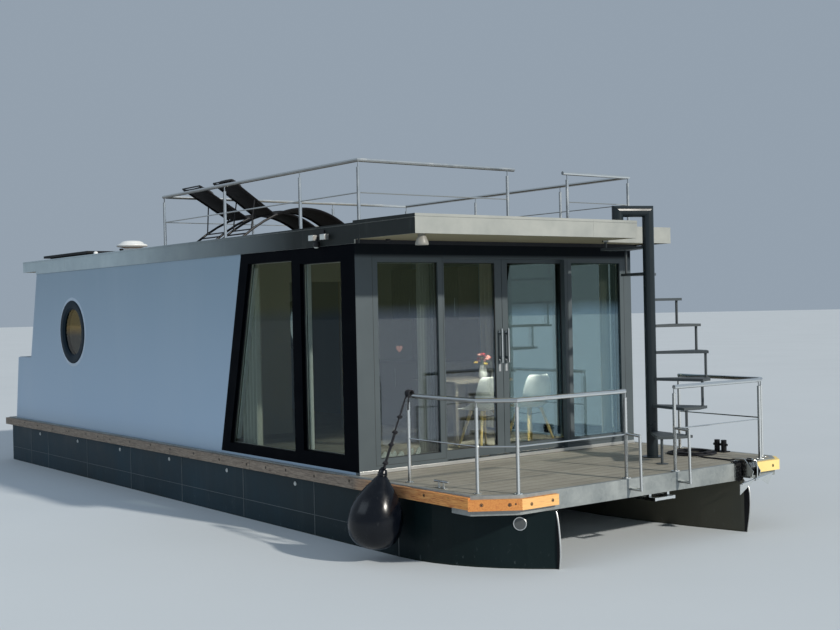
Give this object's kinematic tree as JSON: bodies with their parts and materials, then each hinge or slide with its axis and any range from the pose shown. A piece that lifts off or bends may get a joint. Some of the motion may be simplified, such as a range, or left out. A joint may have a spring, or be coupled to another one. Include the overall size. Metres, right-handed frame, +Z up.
{
  "type": "houseboat",
  "caption": "Twin-pontoon houseboat with glazed front, sliding doors, roof terrace, spiral stair, railed foredeck and tilting outboard.",
  "frame": {"origin": "bottom centre of the bounding box, on the plane of the flat pontoon bottoms", "axes": "+X towards the bow, +Y to port, +Z up"},
  "size_m": [12.734, 4.5764, 4.378],
  "materials": {
    "hull_paint": "satin dark grey paint, weathered at the waterline",
    "galvanised_steel": "hot-dip galvanised, dull",
    "roof_edge": "dull folded sheet",
    "deck_boards": "grey-brown boards with dark joints",
    "timber": "weathered softwood, fresh orange at the bow",
    "wall_panel": "smooth light grey panel",
    "window_frame": "navy black powder coat",
    "window_glass": "clear double glazing",
    "anthracite": "anthracite powder coat",
    "soffit": "warm beige underside, grey top",
    "stainless": "polished tube",
    "black_metal": "black coat",
    "sling_fabric": "black woven sling",
    "white_plastic": "white",
    "solar_cells": "dark cells",
    "fender_vinyl": "glossy black vinyl",
    "rope": "black braided",
    "furniture": "light wood and lacquer"
  },
  "bodies": {
    "boat": {"pontoon_starboard": "hull_paint", "pontoon_port": "hull_paint", "deck_frame": "galvanised_steel", "deck_planking": "deck_boards", "rub_rail": "timber", "wall_starboard": "wall_panel", "wall_port": "wall_panel", "side_window_frame_starboard": "window_frame", "side_glass_starboard": "window_glass", "side_window_frame_port": "window_frame", "side_glass_port": "window_glass", "porthole_starboard": "window_frame", "porthole_port": "window_frame", "front_frame": "anthracite", "door_track_frame": "anthracite", "front_pane_starboard": "window_glass", "front_pane_port": "window_glass", "aft_wall": "wall_panel", "roof": "soffit", "roof_fascia": "roof_edge", "terrace_boards": "deck_boards", "terrace_rail_starboard": "stainless", "terrace_rail_port": "stainless", "terrace_rail_aft": "stainless", "lounger_frame_aft": "black_metal", "lounger_sling_aft": "sling_fabric", "lounger_frame_fore": "black_metal", "lounger_sling_fore": "sling_fabric", "roof_vent": "white_plastic", "solar_panel": "solar_cells", "stair_column": "anthracite", "stair_treads": "anthracite", "bow_rail_starboard": "stainless", "bow_rail_port": "stainless", "boarding_ladder": "galvanised_steel", "bow_cleat": "stainless", "bow_bollard": "black_metal", "bow_roller": "stainless", "anchor": "galvanised_steel", "anchor_rope": "rope", "anchor_rope_coil": "rope", "fender": "fender_vinyl", "fender_rope": "rope", "fascia_spotlight": "white_plastic", "saloon_joinery": "furniture", "dining_table": "furniture", "chair_fore": "white_plastic", "chair_mid": "white_plastic", "stern_rail_starboard": "stainless", "stern_rail_port": "stainless", "outboard_bracket": "galvanised_steel"},
    "door_starboard": {"door_leaf_starboard": "anthracite", "door_glass_starboard": "window_glass"},
    "door_port": {"door_leaf_port": "anthracite", "door_glass_port": "window_glass"},
    "aft_door": {"aft_door": "anthracite"},
    "outboard_tilt": {"outboard_swivel": "black_metal"},
    "outboard": {"outboard_motor": "black_metal"},
    "outboard_prop": {"outboard_propeller": "black_metal"},
    "thruster_prop": {"bow_thruster_propeller": "black_metal"}
  },
  "joints": [
    {"name": "starboard_door_slide", "type": "slide", "parent": "boat", "child": "door_starboard", "axis": [0, -1, 0], "range_m": [0, 0.7]},
    {"name": "port_door_slide", "type": "slide", "parent": "boat", "child": "door_port", "axis": [0, 1, 0], "range_m": [0, 0.76]},
    {"name": "aft_door_hinge", "type": "hinge", "parent": "boat", "child": "aft_door", "pos_m": [-4.605, 0.69318, 2.18], "axis": [0, 0, -1], "range_deg": [0, 100]},
    {"name": "outboard_tilt", "type": "hinge", "parent": "boat", "child": "outboard_tilt", "pos_m": [-5.977, 0.24318, 1.21], "axis": [0, 1, 0], "range_deg": [0, 60]},
    {"name": "outboard_steering", "type": "hinge", "parent": "outboard_tilt", "child": "outboard", "pos_m": [-6.012, 0.24318, 1.18], "axis": [0, 0, 1], "range_deg": [-35, 35]},
    {"name": "outboard_propeller_spin", "type": "hinge", "parent": "outboard", "child": "outboard_prop", "pos_m": [-6.247, 0.24318, 0.35], "axis": [1, 0, 0], "continuous": true},
    {"name": "bow_thruster_spin", "type": "hinge", "parent": "boat", "child": "thruster_prop", "pos_m": [5.243, -1.22682, 0.24], "axis": [0, 1, 0], "continuous": true}
  ]
}
